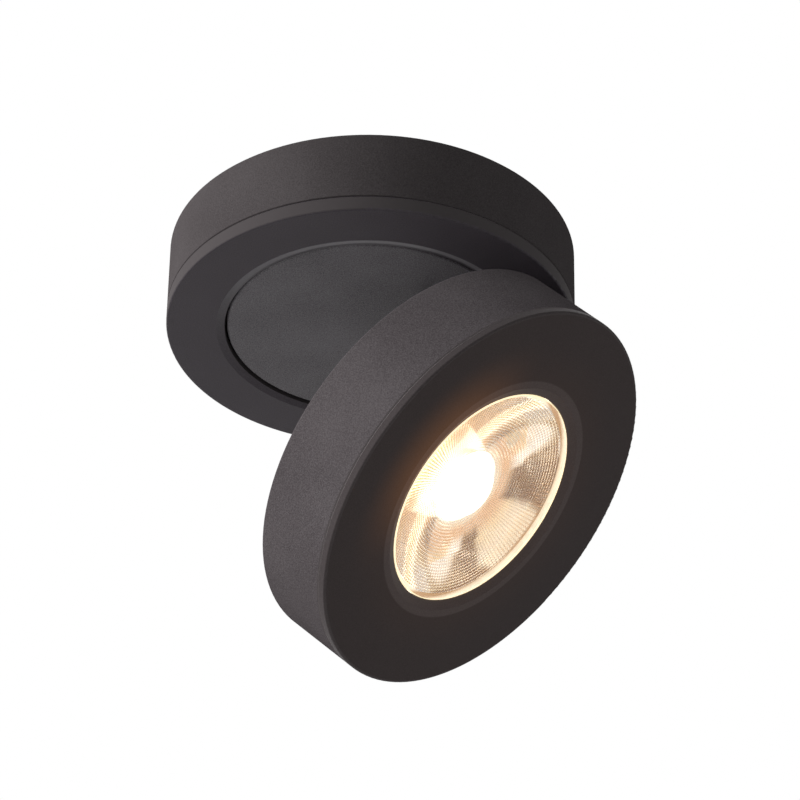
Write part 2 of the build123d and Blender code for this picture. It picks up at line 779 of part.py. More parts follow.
# Arm: a foot under the turntable, a flat bar under the face ring and two hinge ears
arm_top_z = face_z - arm_clearance
arm_bottom_z = arm_top_z - arm_thickness
foot_end = turntable_radius - arm_foot_margin
ear_end = hinge_radius + ear_overhang
arm_screw_hole = turntable_z - arm_bottom_z - arm_screw_floor
slot_end = hinge_radius - pocket_radius
with BuildPart() as swivel_arm:
    with BuildSketch(arm_plane):
        with BuildLine():
            Polyline(
                (arm_start, turntable_z),
                (foot_end, turntable_z),
                (foot_end, arm_top_z),
                (ear_end, arm_top_z),
                (ear_end, hinge_z),
                (hinge_radius - knuckle_radius, hinge_z),
                (hinge_radius - knuckle_radius, arm_bottom_z),
                (arm_start + arm_root_chamfer, arm_bottom_z),
                (arm_start, arm_bottom_z + arm_root_chamfer),
                close=True,
            )
        make_face()
        with Locations((hinge_radius, hinge_z)):
            Circle(knuckle_radius)
    extrude(amount=hinge_half, both=True)
    with BuildSketch(turn_plane.offset(turntable_z)):
        with Locations(((slot_end + head_radius) / 2, 0)):
            Rectangle(head_radius - slot_end, knuckle_width + 2 * hinge_washer_thickness)
    extrude(amount=-base_height, mode=Mode.SUBTRACT)
    with BuildSketch(hinge_plane):
        Circle(hinge_pin_radius + screw_clearance)
    extrude(amount=hinge_half, both=True, mode=Mode.SUBTRACT)
    with BuildSketch(turn_plane.offset(turntable_z)):
        with Locations(*arm_screw_spots):
            Circle(medium_screw_radius + screw_clearance)
    extrude(amount=-arm_screw_hole, mode=Mode.SUBTRACT)
    root_edges = swivel_arm.edges().filter_by(Axis.Z)
    foot_corners = root_edges.sort_by_distance(radial * arm_start + up * arm_top_z)[:2]
    fillet(foot_corners, arm_root_radius)
pieces["swivel_arm"] = swivel_arm.part

pieces["arm_screws"] = pan_screws(
    turn_plane.offset(turntable_top_z),
    arm_screw_spots,
    medium_screw_radius,
    turntable_thickness + arm_screw_hole - arm_screw_gap,
    medium_head_radius,
    medium_head_height,
)

# Hinge pin with its head on one side and a round cap on the other
pin_start = hinge_plane.offset(-hinge_half)
with BuildPart() as hinge_pin:
    with BuildSketch(pin_start):
        Circle(hinge_pin_radius)
    extrude(amount=2 * hinge_half + hinge_pin_tail)
    with BuildSketch(pin_start):
        Circle(knuckle_radius)
    extrude(amount=-hinge_head_thickness)
    pin_rims = hinge_pin.edges().filter_by(GeomType.CIRCLE).sort_by(Axis(hinge_point, across))
    fillet(pin_rims[-1], hinge_head_round)
    with BuildSketch(pin_start.offset(-hinge_head_thickness)):
        RegularPolygon(hinge_recess_radius, 6)
    extrude(amount=hinge_recess_depth, mode=Mode.SUBTRACT)
pieces["hinge_pin"] = hinge_pin.part

cap_start = hinge_plane.offset(hinge_half)
with BuildPart() as hinge_cap:
    with BuildSketch(cap_start):
        Circle(knuckle_radius)
    extrude(amount=hinge_head_thickness)
    cap_rims = hinge_cap.edges().filter_by(GeomType.CIRCLE).sort_by(Axis(hinge_point, across))
    fillet(cap_rims[0], hinge_cap_round)
    with BuildSketch(cap_start):
        Circle(hinge_pin_radius + screw_clearance)
    extrude(amount=hinge_head_thickness, mode=Mode.SUBTRACT)
pieces["hinge_cap"] = hinge_cap.part

pieces["turntable_grommet"] = grommet(
    Plane(
        origin=radial * grommet_reach + across * grommet_side + up * turntable_z,
        x_dir=radial,
        z_dir=up,
    ),
    turntable_thickness,
)

# Head casting: a cup closed at the back, ribbed there for cooling, with the middle hinge knuckle
head_grommet_reach = support_radius + grommet_flange_radius + head_grommet_gap
lead_direction = Vector(1, 0, 0).rotate(Axis.Z, head_grommet_angle)
lead_side = Vector(-lead_direction.Y, lead_direction.X, 0)
lead_end = lead_direction * head_grommet_reach
head_grommet_spot = (lead_end.X, lead_end.Y)
with BuildPart() as head_housing:
    with BuildSketch(head_section):
        with BuildLine():
            Polyline(
                (0, 0),
                (head_radius, 0),
                (head_radius, head_seam_w),
                (head_inner_radius, head_seam_w),
                (head_inner_radius, head_rear_wall),
                (pedestal_radius, head_rear_wall),
                (pedestal_radius, pedestal_w),
                (0, pedestal_w),
                close=True,
            )
        make_face()
    revolve(axis=head_axis)
    rims = head_housing.edges().filter_by(GeomType.CIRCLE).group_by(SortBy.RADIUS)[-1]
    fillet(rims.sort_by(head_axis)[0], edge_chamfer)
    chamfer(rims.sort_by(head_axis)[-1], seam_chamfer)
    with BuildSketch(head_plane):
        Circle(fin_recess_radius)
        rib_count = int(2 * fin_recess_radius / fin_pitch) + 1
        with GridLocations(0, fin_pitch, 1, rib_count):
            Rectangle(2 * fin_recess_radius, fin_thickness, mode=Mode.SUBTRACT)
        with Locations(head_grommet_spot):
            Circle(grommet_flange_radius + grommet_land, mode=Mode.SUBTRACT)
    extrude(amount=fin_depth, mode=Mode.SUBTRACT)
    with BuildSketch(head_hinge):
        Circle(pocket_radius)
    extrude(amount=pocket_half, both=True, mode=Mode.SUBTRACT)
    with BuildSketch(head_hinge):
        Circle(knuckle_radius)
        with Locations((0, hinge_standoff + pocket_radius / 2)):
            Rectangle(2 * pocket_radius, pocket_radius)
    extrude(amount=knuckle_width / 2, both=True)
    with BuildSketch(head_hinge):
        Circle(hinge_pin_radius + running_clearance)
    extrude(amount=knuckle_width / 2, both=True, mode=Mode.SUBTRACT)
    with BuildSketch(head_plane):
        with Locations(head_grommet_spot):
            Circle(grommet_hole_radius)
    extrude(amount=head_rear_wall, mode=Mode.SUBTRACT)
    with BuildSketch(head_plane.offset(pedestal_w)):
        with Locations((-holder_screw_reach, 0), (holder_screw_reach, 0)):
            Circle(small_screw_radius + screw_clearance)
    extrude(amount=-holder_screw_depth, mode=Mode.SUBTRACT)
pieces["head_housing"] = head_housing.part

with BuildPart() as hinge_washers:
    for side in (-1, 1):
        washer_middle = hinge_point + across * side * knuckle_width / 2
        with BuildSketch(Plane(origin=washer_middle, x_dir=toward_hinge, z_dir=across * side)):
            Circle(knuckle_radius - hinge_washer_inset)
            Circle(hinge_pin_radius + hinge_washer_inset, mode=Mode.SUBTRACT)
        extrude(amount=hinge_washer_thickness)
pieces["hinge_washers"] = hinge_washers.part

# Bezel: front plate with a lip inside the casting and the bevelled opening round the lens
with BuildPart() as front_bezel:
    with BuildSketch(head_section):
        with BuildLine():
            Polyline(
                (lens_opening_radius, head_seam_w),
                (bezel_lip_radius - bezel_lip_wall, head_seam_w),
                (bezel_lip_radius - bezel_lip_wall, head_seam_w - bezel_lip_depth),
                (bezel_lip_radius, head_seam_w - bezel_lip_depth),
                (bezel_lip_radius, head_seam_w),
                (head_radius, head_seam_w),
                (head_radius, head_thickness),
                (lens_opening_radius + lens_bevel_width, head_thickness),
                (lens_opening_radius, head_thickness - lens_bevel_depth),
                close=True,
            )
        make_face()
    revolve(axis=head_axis)
    rims = front_bezel.edges().filter_by(GeomType.CIRCLE).group_by(SortBy.RADIUS)[-1]
    chamfer(rims.sort_by(head_axis)[0], seam_chamfer)
    fillet(rims.sort_by(head_axis)[-1], edge_chamfer)
pieces["front_bezel"] = front_bezel.part

pieces["lens_gasket"] = flat_ring(
    head_plane.offset(flange_front_w),
    lens_flange_radius,
    lens_opening_radius + gasket_clearance,
    gasket_thickness,
)

# Lens: a collimator with a curved mirror wall and a well over the light source
well_top_w = lens_foot_w + lens_well_depth
crown_w = well_top_w - lens_well_crown
crown_edge = lens_well_radius - lens_well_draft
crown_radius = (crown_edge**2 + lens_well_crown**2) / (2 * lens_well_crown)
with BuildPart() as lens:
    with BuildSketch(head_section):
        with BuildLine():
            Polyline(
                (lens_foot_radius, lens_foot_w),
                (lens_well_radius, lens_foot_w),
                (crown_edge, well_top_w),
            )
            ThreePointArc(
                (crown_edge, well_top_w),
                (crown_edge / 2, crown_w + crown_radius - sqrt(crown_radius**2 - crown_edge**2 / 4)),
                (0, crown_w),
            )
            Polyline(
                (0, crown_w),
                (0, lens_face_w),
                (lens_face_radius, lens_face_w),
                (lens_face_radius, flange_front_w),
                (lens_flange_radius, flange_front_w),
                (lens_flange_radius, flange_rear_w),
                (lens_wall_radius, flange_rear_w),
            )
            ThreePointArc(
                (lens_wall_radius, flange_rear_w),
                (
                    lens_foot_radius + (lens_wall_radius - lens_foot_radius) * lens_wall_bow_reach,
                    lens_foot_w + (flange_rear_w - lens_foot_w) * lens_wall_bow_rise,
                ),
                (lens_foot_radius, lens_foot_w),
            )
        make_face()
    revolve(axis=head_axis)
pieces["lens"] = lens.part

# White cup round the pedestal that carries the lens flange, notched for the leads
with BuildPart() as lens_support:
    with BuildSketch(head_plane.offset(head_rear_wall)):
        Circle(support_radius)
        Circle(pedestal_radius + lip_clearance, mode=Mode.SUBTRACT)
    extrude(amount=pedestal_height)
    with BuildSketch(head_plane.offset(head_rear_wall)):
        Circle(support_radius)
        Circle(support_radius - support_wall, mode=Mode.SUBTRACT)
    extrude(amount=flange_rear_w - head_rear_wall)
    notch_middle = lead_direction * support_radius
    with BuildSketch(head_plane.offset(pedestal_w)):
        with Locations(Location((notch_middle.X, notch_middle.Y), head_grommet_angle)):
            Rectangle(4 * support_wall, lead_notch_width)
    extrude(amount=lead_notch_height, mode=Mode.SUBTRACT)
pieces["lens_support"] = lens_support.part

with BuildPart() as thermal_pad:
    with BuildSketch(head_plane.offset(pedestal_w)):
        Rectangle(cob_side, cob_side)
    extrude(amount=thermal_pad_thickness)
pieces["thermal_pad"] = thermal_pad.part

with BuildPart() as cob_board:
    with BuildSketch(head_plane.offset(cob_w)):
        RectangleRounded(cob_side, cob_side, cob_corner)
    extrude(amount=cob_thickness)
pieces["cob_board"] = cob_board.part

with BuildPart() as cob_emitter:
    with BuildSketch(head_plane.offset(emitter_w)):
        Circle(emitter_radius)
    extrude(amount=emitter_thickness)
pieces["cob_emitter"] = cob_emitter.part

# Holder that clamps the light source, with two screws into the casting
holder_step = emitter_w - pedestal_w
cob_pocket = cob_side + 2 * cob_clearance
with BuildPart() as cob_holder:
    with BuildSketch(head_plane.offset(pedestal_w)):
        Circle(holder_radius)
    extrude(amount=holder_step + holder_cover)
    with BuildSketch(head_plane.offset(pedestal_w)):
        RectangleRounded(cob_pocket, cob_pocket, cob_corner)
    extrude(amount=holder_step, mode=Mode.SUBTRACT)
    with BuildSketch(head_plane.offset(pedestal_w)):
        Circle(holder_opening_radius)
        with Locations((-holder_screw_reach, 0), (holder_screw_reach, 0)):
            Circle(small_screw_radius + through_clearance)
    extrude(amount=holder_step + holder_cover, mode=Mode.SUBTRACT)
    holder_rims = cob_holder.edges().filter_by(GeomType.CIRCLE).group_by(SortBy.RADIUS)[-1]
    fillet(holder_rims.sort_by(head_axis)[-1], holder_round)
pieces["cob_holder"] = cob_holder.part

pieces["cob_holder_screws"] = pan_screws(
    head_plane.offset(emitter_w + holder_cover),
    [(-holder_screw_reach, 0), (holder_screw_reach, 0)],
    small_screw_radius,
    holder_step + holder_cover + holder_screw_depth - holder_screw_gap,
    small_head_radius,
    small_head_height,
)

pieces["head_grommet"] = grommet(
    Plane(
        origin=head_plane.from_local_coords((*head_grommet_spot, 0)),
        x_dir=toward_hinge,
        z_dir=facing,
    ),
    head_rear_wall,
)

# Leads inside the base: supply to driver beside the nut, driver output down the hollow hub
supply_z = web_top_z + terminal_wire_level
lead_entry = terminal_screw_inset - lead_end_gap
supply_x = bush_flange_radius + terminal_gap - lead_spacing
pieces["supply_leads"] = lead_pair(
    [
        (
            (side * terminal_pitch, -terminal_offset - lead_entry, supply_z),
            (side * terminal_pitch, -terminal_offset + lead_straight, supply_z),
            (side * supply_x, -terminal_offset + lead_sweep, supply_z),
            (side * supply_x, driver_offset, supply_z),
        )
        for side in (-1, 1)
    ]
)
output_z = hub_top_z + output_lead_rise
pieces["output_leads"] = lead_pair(
    [
        (
            (side * lead_spacing / 2, driver_offset, output_z),
            (side * lead_spacing / 2, 0, output_z),
            (side * lead_spacing / 2, 0, turntable_top_z + output_lead_end),
        )
        for side in (-1, 1)
    ]
)

# Leads inside the head, from the holder through the support ring to the grommet
lead_w = pedestal_w + lead_radius + lead_lift
lead_start = lead_direction * holder_radius
pieces["cob_leads"] = lead_pair(
    [
        [
            head_plane.from_local_coords(spot + lead_side * side * head_lead_spacing / 2 + up * w)
            for spot, w in ((lead_start, lead_w), (lead_end, lead_w), (lead_end, head_lead_end))
        ]
        for side in (-1, 1)
    ],
    bend=head_lead_bend,
)

for name, solid in pieces.items():
    solid.label = name
    export_step(solid, "parts/" + name + ".step")
    print(name, len(solid.solids()), round(solid.volume, 1))
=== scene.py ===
import bpy
import bmesh
import json
import math
from mathutils import Matrix, Vector


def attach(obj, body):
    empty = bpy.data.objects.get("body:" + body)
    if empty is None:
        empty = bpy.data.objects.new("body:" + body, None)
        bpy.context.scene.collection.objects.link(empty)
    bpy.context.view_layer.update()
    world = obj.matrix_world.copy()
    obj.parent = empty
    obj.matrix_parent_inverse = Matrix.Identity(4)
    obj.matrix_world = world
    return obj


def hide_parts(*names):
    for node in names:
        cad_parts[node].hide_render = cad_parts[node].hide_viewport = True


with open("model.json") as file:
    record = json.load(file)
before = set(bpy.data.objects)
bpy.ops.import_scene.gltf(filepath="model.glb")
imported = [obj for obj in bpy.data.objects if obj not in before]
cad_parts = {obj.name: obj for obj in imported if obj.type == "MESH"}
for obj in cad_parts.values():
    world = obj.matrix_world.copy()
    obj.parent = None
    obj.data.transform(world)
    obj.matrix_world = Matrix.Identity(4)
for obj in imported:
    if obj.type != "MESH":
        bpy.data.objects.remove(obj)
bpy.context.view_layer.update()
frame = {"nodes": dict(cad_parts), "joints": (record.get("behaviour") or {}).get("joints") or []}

nodes = frame["nodes"]
scene = bpy.context.scene
mm = 0.001  # the dictionaries below are in millimetres and degrees


def hexColour(code):  # sRGB hex to linear colour
    channels = [int(code[i:i + 2], 16) / 255 for i in (1, 3, 5)]
    linear = [c / 12.92 if c <= 0.04045 else ((c + 0.055) / 1.055) ** 2.4 for c in channels]
    return (*linear, 1.0)


def addNode(tree, kind, inputs=None, steps=None, **settings):  # a node with its settings, values and links
    node = tree.nodes.new(kind)
    for name, value in settings.items():
        setattr(node, name, value)
    for name, value in (inputs or {}).items():
        socket = node.inputs[name]
        if isinstance(value, bpy.types.NodeSocket):
            tree.links.new(value, socket)
        else:
            socket.default_value = value
    if steps:  # stops of a colour ramp, each (position, hex)
        stops = node.color_ramp.elements
        while len(stops) < len(steps):
            stops.new(0.5)
        for stop, (position, code) in zip(stops, steps):
            stop.position = position
            stop.color = hexColour(code)
    return node


def newMaterial(name):
    material = bpy.data.materials.new(name)
    material.use_nodes = True
    material.node_tree.nodes.clear()
    return material, material.node_tree


def perMm(size):  # texture scale for a grain of that many millimetres
    return 1 / (size * mm)


def dress(material, *names):
    for name in names:
        slots = nodes[name].data.materials
        slots.clear()
        slots.append(material)


# the camera, fitted to the outlines of both discs
cameraSetup = {
    "elevation": -34.175,
    "roll": 0.992,
    "distance": 960.6,
    "toRight": 6.88,
    "toTop": -35.13,
    "focal": 174.37,
    "sensor": 36,
}


def placeCamera(s):
    elevation, roll = math.radians(s["elevation"]), math.radians(s["roll"])
    back = Vector((0, -math.cos(elevation), math.sin(elevation)))
    level = Vector((1, 0, 0))
    upright = level.cross(-back)
    right = level * math.cos(roll) + upright * math.sin(roll)
    up = upright * math.cos(roll) - level * math.sin(roll)
    spot = (back * s["distance"] + right * s["toRight"] + up * s["toTop"]) * mm
    camera = bpy.data.objects.new("camera", bpy.data.cameras.new("camera"))
    scene.collection.objects.link(camera)
    camera.matrix_world = Matrix.Translation(spot) @ Matrix((right, up, back)).transposed().to_4x4()
    camera.data.sensor_fit = "HORIZONTAL"
    camera.data.sensor_width = s["sensor"]
    camera.data.lens = s["focal"]
    scene.camera = camera


placeCamera(cameraSetup)
scene.view_settings.view_transform = "Standard"
print("camera placed")

studio = {
    "floorDrop": 800,
    "floorReach": 6000,
    "floorColour": "#e6e5e3",
    "floorOwn": 0.7,  # share of the floor's look that is its own pale tone
    "bright": 0.7,  # soft light of the room, brightest from low on the right
    "dim": 0.15,
    "brightSide": (0.83, 0.2, -0.52),
    "lamps": {  # place, width and power of each soft box
        "key": ((-1174, -271, 487), 600, 27.4),
        "fill": ((300, 1000, 600), 1200, 2),
    },
}


def seenDirectly(tree):  # 1 for what the camera sees, also in a mirror or through glass
    ray = addNode(tree, "ShaderNodeLightPath")
    seen = addNode(tree, "ShaderNodeMath", {
        0: ray.outputs["Is Camera Ray"], 1: ray.outputs["Is Glossy Ray"]}, operation="MAXIMUM")
    return addNode(tree, "ShaderNodeMath", {
        0: seen.outputs[0], 1: ray.outputs["Is Transmission Ray"]}, operation="MAXIMUM").outputs[0]


def lightRoom(s):
    world = bpy.data.worlds.new("studio")
    scene.world = world
    world.use_nodes = True
    tree = world.node_tree
    tree.nodes.clear()
    way = addNode(tree, "ShaderNodeTexCoord").outputs["Generated"]
    side = addNode(tree, "ShaderNodeVectorMath", {
        0: way, 1: Vector(s["brightSide"]).normalized()}, operation="DOT_PRODUCT")
    level = addNode(tree, "ShaderNodeMapRange", {
        "Value": side.outputs["Value"], "From Min": -1, "From Max": 1,
        "To Min": s["dim"], "To Max": s["bright"]})
    soft = addNode(tree, "ShaderNodeBackground", {"Strength": level.outputs["Result"]})
    white = addNode(tree, "ShaderNodeBackground", {"Color": (1, 1, 1, 1), "Strength": 1})
    mix = addNode(tree, "ShaderNodeMixShader", {
        0: seenDirectly(tree), 1: soft.outputs[0], 2: white.outputs[0]})
    addNode(tree, "ShaderNodeOutputWorld", {"Surface": mix.outputs[0]})


def layFloor(s):
    half, z = s["floorReach"] * mm, -s["floorDrop"] * mm
    corners = [(-half, -half, z), (half, -half, z), (half, half, z), (-half, half, z)]
    mesh = bpy.data.meshes.new("floor")
    mesh.from_pydata(corners, [], [(0, 1, 2, 3)])
    floor = bpy.data.objects.new("floor", mesh)
    scene.collection.objects.link(floor)
    material, tree = newMaterial("pale floor")
    shade = addNode(tree, "ShaderNodeBsdfDiffuse", {"Color": hexColour(s["floorColour"])})
    own = addNode(tree, "ShaderNodeEmission", {"Color": hexColour(s["floorColour"]), "Strength": 1})
    share = addNode(tree, "ShaderNodeMath", {0: seenDirectly(tree), 1: s["floorOwn"]}, operation="MULTIPLY")
    mix = addNode(tree, "ShaderNodeMixShader", {0: share.outputs[0], 1: shade.outputs[0], 2: own.outputs[0]})
    addNode(tree, "ShaderNodeOutputMaterial", {"Surface": mix.outputs[0]})
    material.cycles.emission_sampling = "NONE"  # the pale tone is only seen, it lights nothing
    mesh.materials.append(material)


def hangLamps(s):
    for name, (spot, width, power) in s["lamps"].items():
        lamp = bpy.data.lights.new(name, "AREA")
        lamp.size = width * mm
        lamp.energy = power
        box = bpy.data.objects.new(name, lamp)
        scene.collection.objects.link(box)
        box.visible_glossy = False  # no hard highlight of a soft box on the coats
        box.location = Vector(spot) * mm
        box.rotation_euler = (-box.location).to_track_quat("-Z", "Y").to_euler()


lightRoom(studio)
layFloor(studio)
hangLamps(studio)
print("studio built")

# how the head hangs: its tilt, and how far the hinge pin is from the lens axis and behind the rear face
headPlace = {"tilt": 45, "hingeToAxis": 45, "hingeBehind": 0.65}


def headMatrix(s):  # x towards the hinge, z out of the lens, origin on the rear face
    hinge = next(joint for joint in frame["joints"] if joint["name"] == "tilt")
    across = -Vector(hinge["axis"]).normalized()
    radial = across.cross(Vector((0, 0, 1)))
    turn = math.radians(s["tilt"])
    facing = radial * math.cos(turn) - Vector((0, 0, math.sin(turn)))
    towards = radial * math.sin(turn) + Vector((0, 0, math.cos(turn)))
    origin = Vector(hinge["pos_m"]) + (facing * s["hingeBehind"] - towards * s["hingeToAxis"]) * mm
    axes = Matrix((towards, facing.cross(towards), facing)).transposed().to_4x4()
    return Matrix.Translation(origin) @ axes


headFrame = headMatrix(headPlace)


def headCoords(tree):  # texture coordinates in the head's own frame
    place = addNode(tree, "ShaderNodeTexCoord").outputs["Object"]
    return addNode(tree, "ShaderNodeMapping", {
        "Vector": place, "Location": headFrame.translation,
        "Rotation": headFrame.to_euler()}, vector_type="TEXTURE").outputs["Vector"]


def axisDistance(tree):  # distance from the lens axis, in millimetres
    flat = addNode(tree, "ShaderNodeVectorMath", {
        0: headCoords(tree), 1: (1 / mm, 1 / mm, 0)}, operation="MULTIPLY")
    return addNode(tree, "ShaderNodeVectorMath", {0: flat.outputs[0]}, operation="LENGTH").outputs["Value"]


def apart(tree, value, middle):  # how far a value is from its middle
    off = addNode(tree, "ShaderNodeMath", {0: value, 1: middle}, operation="SUBTRACT")
    return addNode(tree, "ShaderNodeMath", {0: off.outputs[0]}, operation="ABSOLUTE").outputs[0]


# a factor that changes in lobes round the Z axis of the place, and is 1 outside them
# each lobe is its middle angle, the half widths of its flat and of its whole, and the factor inside
def lobeShare(tree, place, lobes):
    spot = addNode(tree, "ShaderNodeSeparateXYZ", {"Vector": place})
    angle = addNode(tree, "ShaderNodeMath", {
        0: spot.outputs["Y"], 1: spot.outputs["X"]}, operation="ARCTAN2").outputs[0]
    share = None
    for middle, flat, half, inside in lobes:
        fade = addNode(tree, "ShaderNodeMapRange", {
            "Value": apart(tree, angle, math.radians(middle)),
            "From Min": math.radians(flat), "From Max": math.radians(half),
            "To Min": inside, "To Max": 1}, interpolation_type="SMOOTHSTEP").outputs["Result"]
        if share:
            fade = addNode(tree, "ShaderNodeMath", {0: fade, 1: share}, operation="MULTIPLY").outputs[0]
        share = fade
    return share


# powder coat on aluminium: cured grit, dark in the pits and paler on the grains, soft sheen
# the grit is drawn coarser than it is, so that it shows, and the tone drifts slowly over it
coatGrain = {"drift": 22, "driftShare": 0.35, "pitAt": 0.5, "grainAt": 0.85, "roughSpread": 0.06}
fineCoat = {
    "grit": 0.3, "pit": "#433f40", "grain": "#504c4d",
    "rough": 0.5, "relief": 0.010, "gloss": 0,
}
ringCoat = {
    "grit": 0.3, "pit": "#403b41", "grain": "#4b464c",
    "rough": 0.3, "relief": 0.006, "gloss": 0.16,
    "side": {"colour": "#494546", "rough": 0.9, "steep": 0.4, "flat": 0.7},  # limits of the normal's height
    "bevel": {"inner": 35.75, "outer": 37.8, "depth": 0.6},  # as deep as it looks
    # edge: a painted highlight, a thin pale ring at this radius shown only inside the lobe's arc
    "edge": {
        "radius": 37.1, "line": 0.4, "fade": 0.9,
        "colour": "#8a878c", "lobes": ((-85, 20, 75, 0),),
    },
}
sandCoat = {
    "grit": 0.28, "pit": "#444145", "grain": "#747176",
    "rough": 0.45, "relief": 0.03, "gloss": 0.3,
}
headCoat = {
    "grit": 0.3, "pit": "#4a4547", "grain": "#625d5f",
    # seam: colour of a painted highlight along the seam
    "rough": 0.55, "relief": 0.03, "gloss": 0, "seam": "#7c7677",
}
bezelCoat = {
    "grit": 0.3, "pit": "#5a5354", "grain": "#655e5f",
    # seam: colour of a painted highlight along the seam
    "rough": 0.5, "relief": 0.010, "gloss": 0.05, "seam": "#7c7677",
    # radius and tint, with painted light: the bevel round the lens painted lighter, the face, and the side
    # painted lighter
    "zones": [(31.7, "#d6d3d1"), (31.9, "#a8a2a0"), (49.25, "#a8a2a0"), (49.5, "#c8c8c8")],
}
# where the bezel meets the head casting, and the width and fade of the painted highlight line there
headSeam = {"radius": 50, "height": 19.8, "line": 0.15, "fade": 0.35}
# painted glow: lamp light that spills over the bezel beside the lens, made by emission in the coat
lampSpill = {"near": 26, "far": 44, "level": 0.006, "colour": "#ffa552", "lobes": ((98, 12, 62, 14),)}


def mattSide(tree, s, colour, rough):  # the rim is matt, only the flat face has the sheen
    normal = addNode(tree, "ShaderNodeNewGeometry").outputs["True Normal"]
    upright = addNode(tree, "ShaderNodeSeparateXYZ", {"Vector": normal}).outputs["Z"]
    upright = addNode(tree, "ShaderNodeMath", {0: upright}, operation="ABSOLUTE").outputs[0]
    face = addNode(tree, "ShaderNodeMapRange", {
        "Value": upright, "From Min": s["steep"], "From Max": s["flat"]}).outputs["Result"]
    colour = addNode(tree, "ShaderNodeMix", {
        0: face, 6: hexColour(s["colour"]), 7: colour}, data_type="RGBA").outputs[2]
    rough = addNode(tree, "ShaderNodeMapRange", {
        "Value": face, "To Min": s["rough"], "To Max": rough}).outputs["Result"]
    return colour, rough


def paintedLightBands(tree, zones, colour):  # painted light: tone bands by radius, lighter on the bevel and the side as if they caught more light
    part = addNode(tree, "ShaderNodeMapRange", {
        "Value": axisDistance(tree), "From Max": headSeam["radius"]}).outputs["Result"]
    tint = addNode(tree, "ShaderNodeValToRGB", {"Fac": part}, steps=[
        (radius / headSeam["radius"], code) for radius, code in zones]).outputs["Color"]
    return addNode(tree, "ShaderNodeMix", {
        0: 1, 6: colour, 7: tint}, data_type="RGBA", blend_type="MULTIPLY").outputs[2]


def seamHighlight(tree, code, colour):  # painted highlight: a pale line along the seam
    height = addNode(tree, "ShaderNodeSeparateXYZ", {"Vector": headCoords(tree)}).outputs["Z"]
    line = addNode(tree, "ShaderNodeMapRange", {
        "Value": apart(tree, height, headSeam["height"] * mm),
        "From Min": headSeam["line"] * mm, "From Max": headSeam["fade"] * mm,
        "To Min": 1, "To Max": 0}).outputs["Result"]
    return addNode(tree, "ShaderNodeMix", {
        0: line, 6: colour, 7: hexColour(code)}, data_type="RGBA").outputs[2]


# soft dished edge round the opening, with a painted highlight in an arc along its brink
def dishedBevelAndHighlight(tree, place, bevel, edge, colour, normal):
    flat = addNode(tree, "ShaderNodeVectorMath", {0: place, 1: (1, 1, 0)}, operation="MULTIPLY")
    radius = addNode(tree, "ShaderNodeVectorMath", {0: flat.outputs[0]}, operation="LENGTH").outputs["Value"]
    line = addNode(tree, "ShaderNodeMapRange", {
        "Value": apart(tree, radius, edge["radius"] * mm),
        "From Min": edge["line"] * mm, "From Max": edge["fade"] * mm}).outputs["Result"]
    # painted highlight: pale only on the line and inside the lobe
    offHighlight = addNode(tree, "ShaderNodeMath", {
        0: line, 1: lobeShare(tree, place, edge["lobes"])}, operation="MAXIMUM").outputs[0]
    colour = addNode(tree, "ShaderNodeMix", {
        0: offHighlight, 6: hexColour(edge["colour"]), 7: colour}, data_type="RGBA").outputs[2]
    dish = addNode(tree, "ShaderNodeMapRange", {
        "Value": radius, "From Min": bevel["inner"] * mm, "From Max": bevel["outer"] * mm}).outputs["Result"]
    normal = addNode(tree, "ShaderNodeBump", {
        "Height": dish, "Strength": 1, "Distance": bevel["depth"] * mm, "Normal": normal}).outputs["Normal"]
    return colour, normal


def powderCoat(name, s, spill=None):
    material, tree = newMaterial(name)
    place = addNode(tree, "ShaderNodeTexCoord").outputs["Object"]
    grit = addNode(tree, "ShaderNodeTexNoise", {
        "Vector": place, "Scale": perMm(s["grit"]), "Detail": 2.0, "Roughness": 0.55}).outputs["Fac"]
    drift = addNode(tree, "ShaderNodeTexNoise", {
        "Vector": place, "Scale": perMm(coatGrain["drift"]), "Detail": 3.0}).outputs["Fac"]
    tone = addNode(tree, "ShaderNodeMath", {
        0: drift, 1: coatGrain["driftShare"], 2: grit}, operation="MULTIPLY_ADD").outputs[0]
    colour = addNode(tree, "ShaderNodeValToRGB", {"Fac": tone}, steps=[
        (coatGrain["pitAt"], s["pit"]), (coatGrain["grainAt"], s["grain"])]).outputs["Color"]
    rough = addNode(tree, "ShaderNodeMapRange", {
        "Value": drift, "To Min": s["rough"] - coatGrain["roughSpread"],
        "To Max": s["rough"] + coatGrain["roughSpread"]}).outputs["Result"]
    normal = addNode(tree, "ShaderNodeBump", {
        "Height": grit, "Strength": 1, "Distance": s["relief"] * mm}).outputs["Normal"]
    if "side" in s:
        colour, rough = mattSide(tree, s["side"], colour, rough)
    if "zones" in s:
        colour = paintedLightBands(tree, s["zones"], colour)
    if "seam" in s:
        colour = seamHighlight(tree, s["seam"], colour)
    if "bevel" in s:
        colour, normal = dishedBevelAndHighlight(tree, place, s["bevel"], s["edge"], colour, normal)
    shade = addNode(tree, "ShaderNodeBsdfPrincipled", {
        "Base Color": colour, "Roughness": rough, "Normal": normal, "Specular IOR Level": s["gloss"]})
    # painted glow of spilled lamp light, fading from the lens and strongest in its lobe
    if spill:
        fade = addNode(tree, "ShaderNodeMapRange", {
            "Value": axisDistance(tree), "From Min": spill["near"], "From Max": spill["far"],
            "To Min": spill["level"], "To Max": 0}, interpolation_type="SMOOTHSTEP").outputs["Result"]
        level = addNode(tree, "ShaderNodeMath", {
            0: fade, 1: lobeShare(tree, headCoords(tree), spill["lobes"])}, operation="MULTIPLY")
        shade.inputs["Emission Color"].default_value = hexColour(spill["colour"])
        tree.links.new(level.outputs[0], shade.inputs["Emission Strength"])
    addNode(tree, "ShaderNodeOutputMaterial", {"Surface": shade.outputs[0]})
    return material


